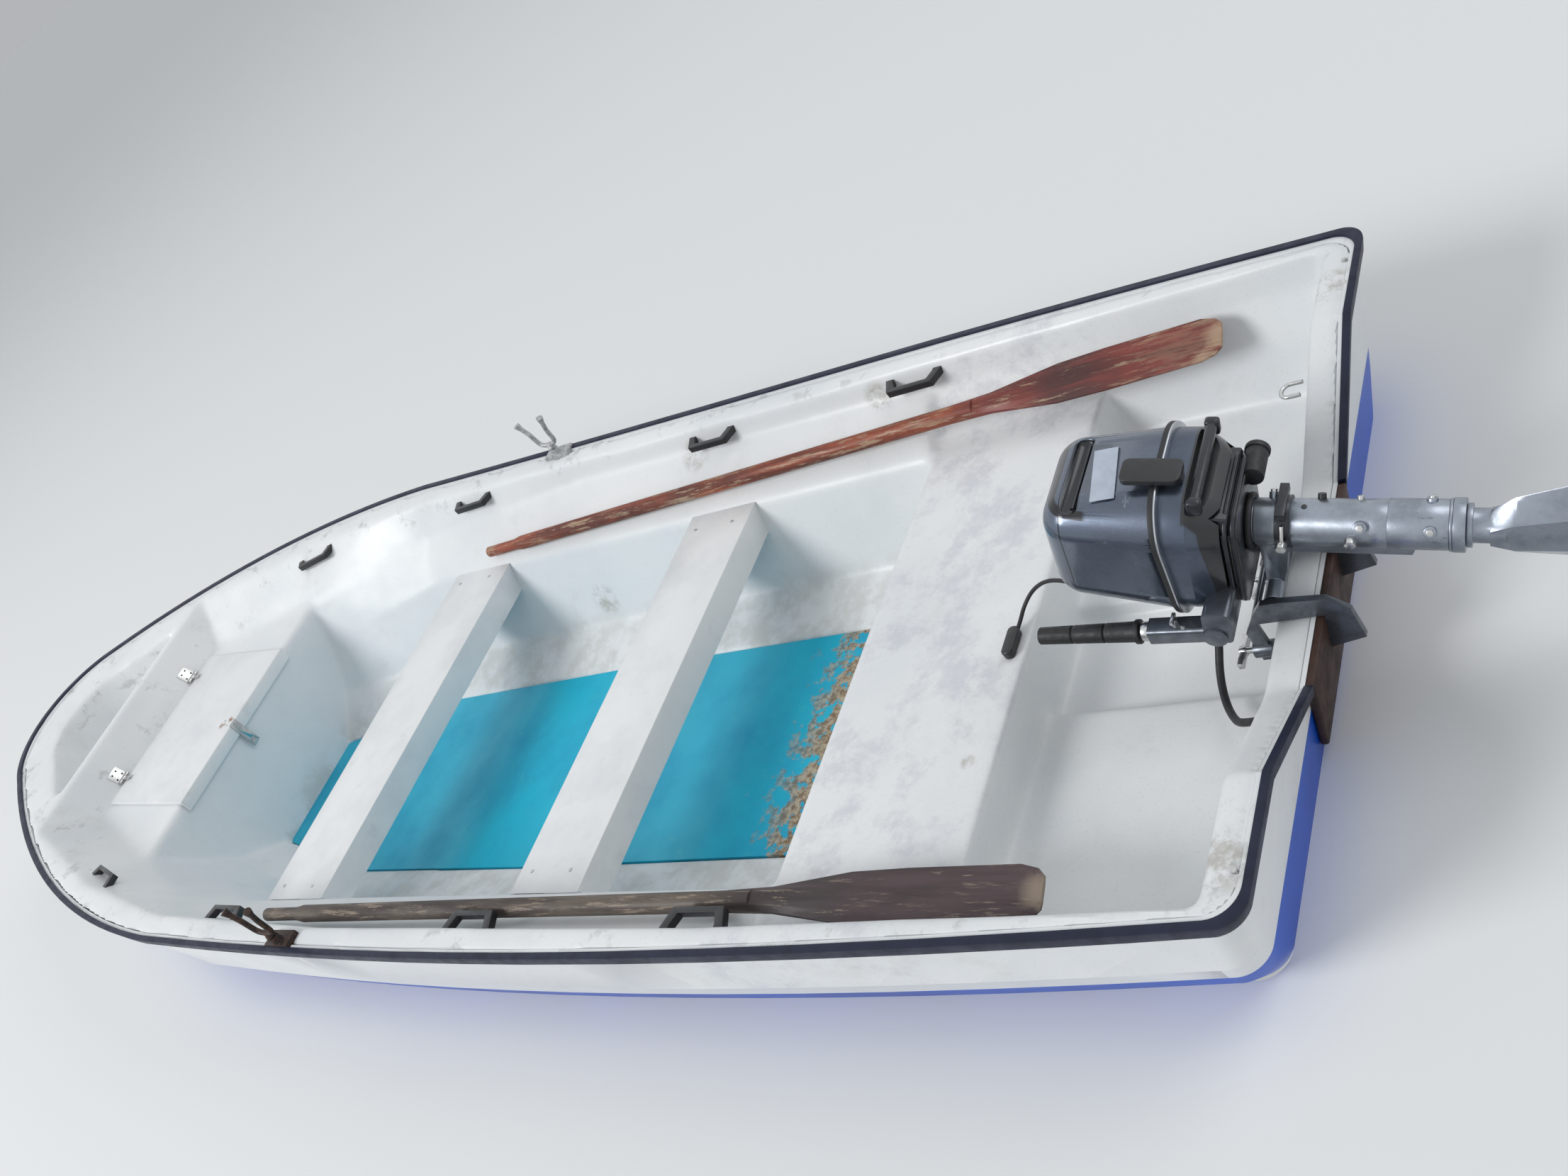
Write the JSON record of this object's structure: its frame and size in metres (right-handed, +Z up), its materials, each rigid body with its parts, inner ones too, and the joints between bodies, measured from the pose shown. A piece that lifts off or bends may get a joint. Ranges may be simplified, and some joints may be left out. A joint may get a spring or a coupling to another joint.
{
  "type": "rowing boat",
  "caption": "Open glass-fibre rowing boat with thwarts, bow locker, rowlocks, oars and a small tipped-up outboard motor at the transom.",
  "frame": {"origin": "mount waterline: the point on the waterline plane at midship, on the centre line", "axes": "+X towards the bow, +Y to port, +Z up"},
  "size_m": [4.8975, 1.6088, 0.6964],
  "materials": {
    "white_gelcoat": "off-white gel coat over glass fibre",
    "blue_gelcoat": "royal blue gel coat, glossy",
    "turquoise_gelcoat": "turquoise gel coat, worn",
    "rub_rubber": "black rubber fender strip",
    "black_plastic": "black moulded plastic",
    "stainless": "stainless steel",
    "galvanised": "galvanised iron",
    "oar_wood": "painted wood, worn",
    "pad_wood": "dark brown pad",
    "motor_cowl": "dark grey metallic paint",
    "motor_dark": "dark grey paint",
    "motor_silver": "silver grey paint",
    "hose_rubber": "black rubber hose"
  },
  "bodies": {
    "boat": {"topside_port": "white_gelcoat", "topside_starboard": "white_gelcoat", "transom_upper": "white_gelcoat", "side_liner_port": "white_gelcoat", "side_liner_starboard": "white_gelcoat", "stern_bench": "white_gelcoat", "stern_well": "white_gelcoat", "bow_locker": "white_gelcoat", "foredeck": "white_gelcoat", "thwart_forward": "white_gelcoat", "thwart_aft": "white_gelcoat", "bilge_port": "blue_gelcoat", "bilge_starboard": "blue_gelcoat", "hull_bottom": "blue_gelcoat", "transom_lower": "blue_gelcoat", "floor": "turquoise_gelcoat", "rub_strip_port": "rub_rubber", "rub_strip_starboard": "rub_rubber", "grab_handles": "black_plastic", "starter_grip": "black_plastic", "starter_cord": "black_plastic", "lid_hinges": "stainless", "mooring_eyes": "stainless", "rowlock_sockets": "galvanised", "oar_port": "oar_wood", "oar_starboard": "oar_wood", "motor_pad": "pad_wood", "clamp_bracket": "motor_dark", "clamp_screws": "motor_silver", "fuel_hose": "hose_rubber"},
    "lid": {"locker_lid": "white_gelcoat", "lid_fittings": "stainless"},
    "rowlock_port": {"rowlock_port": "galvanised"},
    "rowlock_starboard": {"rowlock_starboard": "galvanised"},
    "outboard_swivel": {"swivel_tube": "motor_silver", "friction_clamp": "motor_silver"},
    "outboard": {"leg": "motor_silver", "gearcase": "motor_silver", "powerhead": "motor_dark", "lower_cowl": "motor_dark", "seam_band": "motor_dark", "upper_cowl": "motor_cowl", "rear_handle": "black_plastic", "latch_lever": "black_plastic", "tiller_arm": "motor_silver", "tiller_grip": "black_plastic"},
    "propeller": {"propeller": "motor_dark"}
  },
  "joints": [
    {"name": "lid_hinge", "type": "hinge", "parent": "boat", "child": "lid", "pos_m": [1.612, 0, 0.332], "axis": [0, 1, 0], "range_deg": [0, 105]},
    {"name": "rowlock_turn_port", "type": "hinge", "parent": "boat", "child": "rowlock_port", "pos_m": [0.125, 0.768, 0.376], "axis": [0, 0, 1], "continuous": true},
    {"name": "rowlock_turn_starboard", "type": "hinge", "parent": "boat", "child": "rowlock_starboard", "pos_m": [0.125, -0.768, 0.376], "axis": [0, 0, 1], "continuous": true},
    {"name": "outboard_tilt", "type": "hinge", "parent": "boat", "child": "outboard_swivel", "pos_m": [-2.04, 0, 0.215], "axis": [0, -1, 0], "range_deg": [0, 73]},
    {"name": "outboard_steer", "type": "hinge", "parent": "outboard_swivel", "child": "outboard", "pos_m": [-2.07713, 0, 0.33645], "axis": [0.9563, 0, 0.2924], "range_deg": [-45, 45], "deforming": ["fuel_hose", "starter_cord"]},
    {"name": "propeller_turn", "type": "hinge", "parent": "outboard", "child": "propeller", "pos_m": [-2.64773, 0, 0.33872], "axis": [0.2924, 0, -0.9563], "continuous": true}
  ]
}
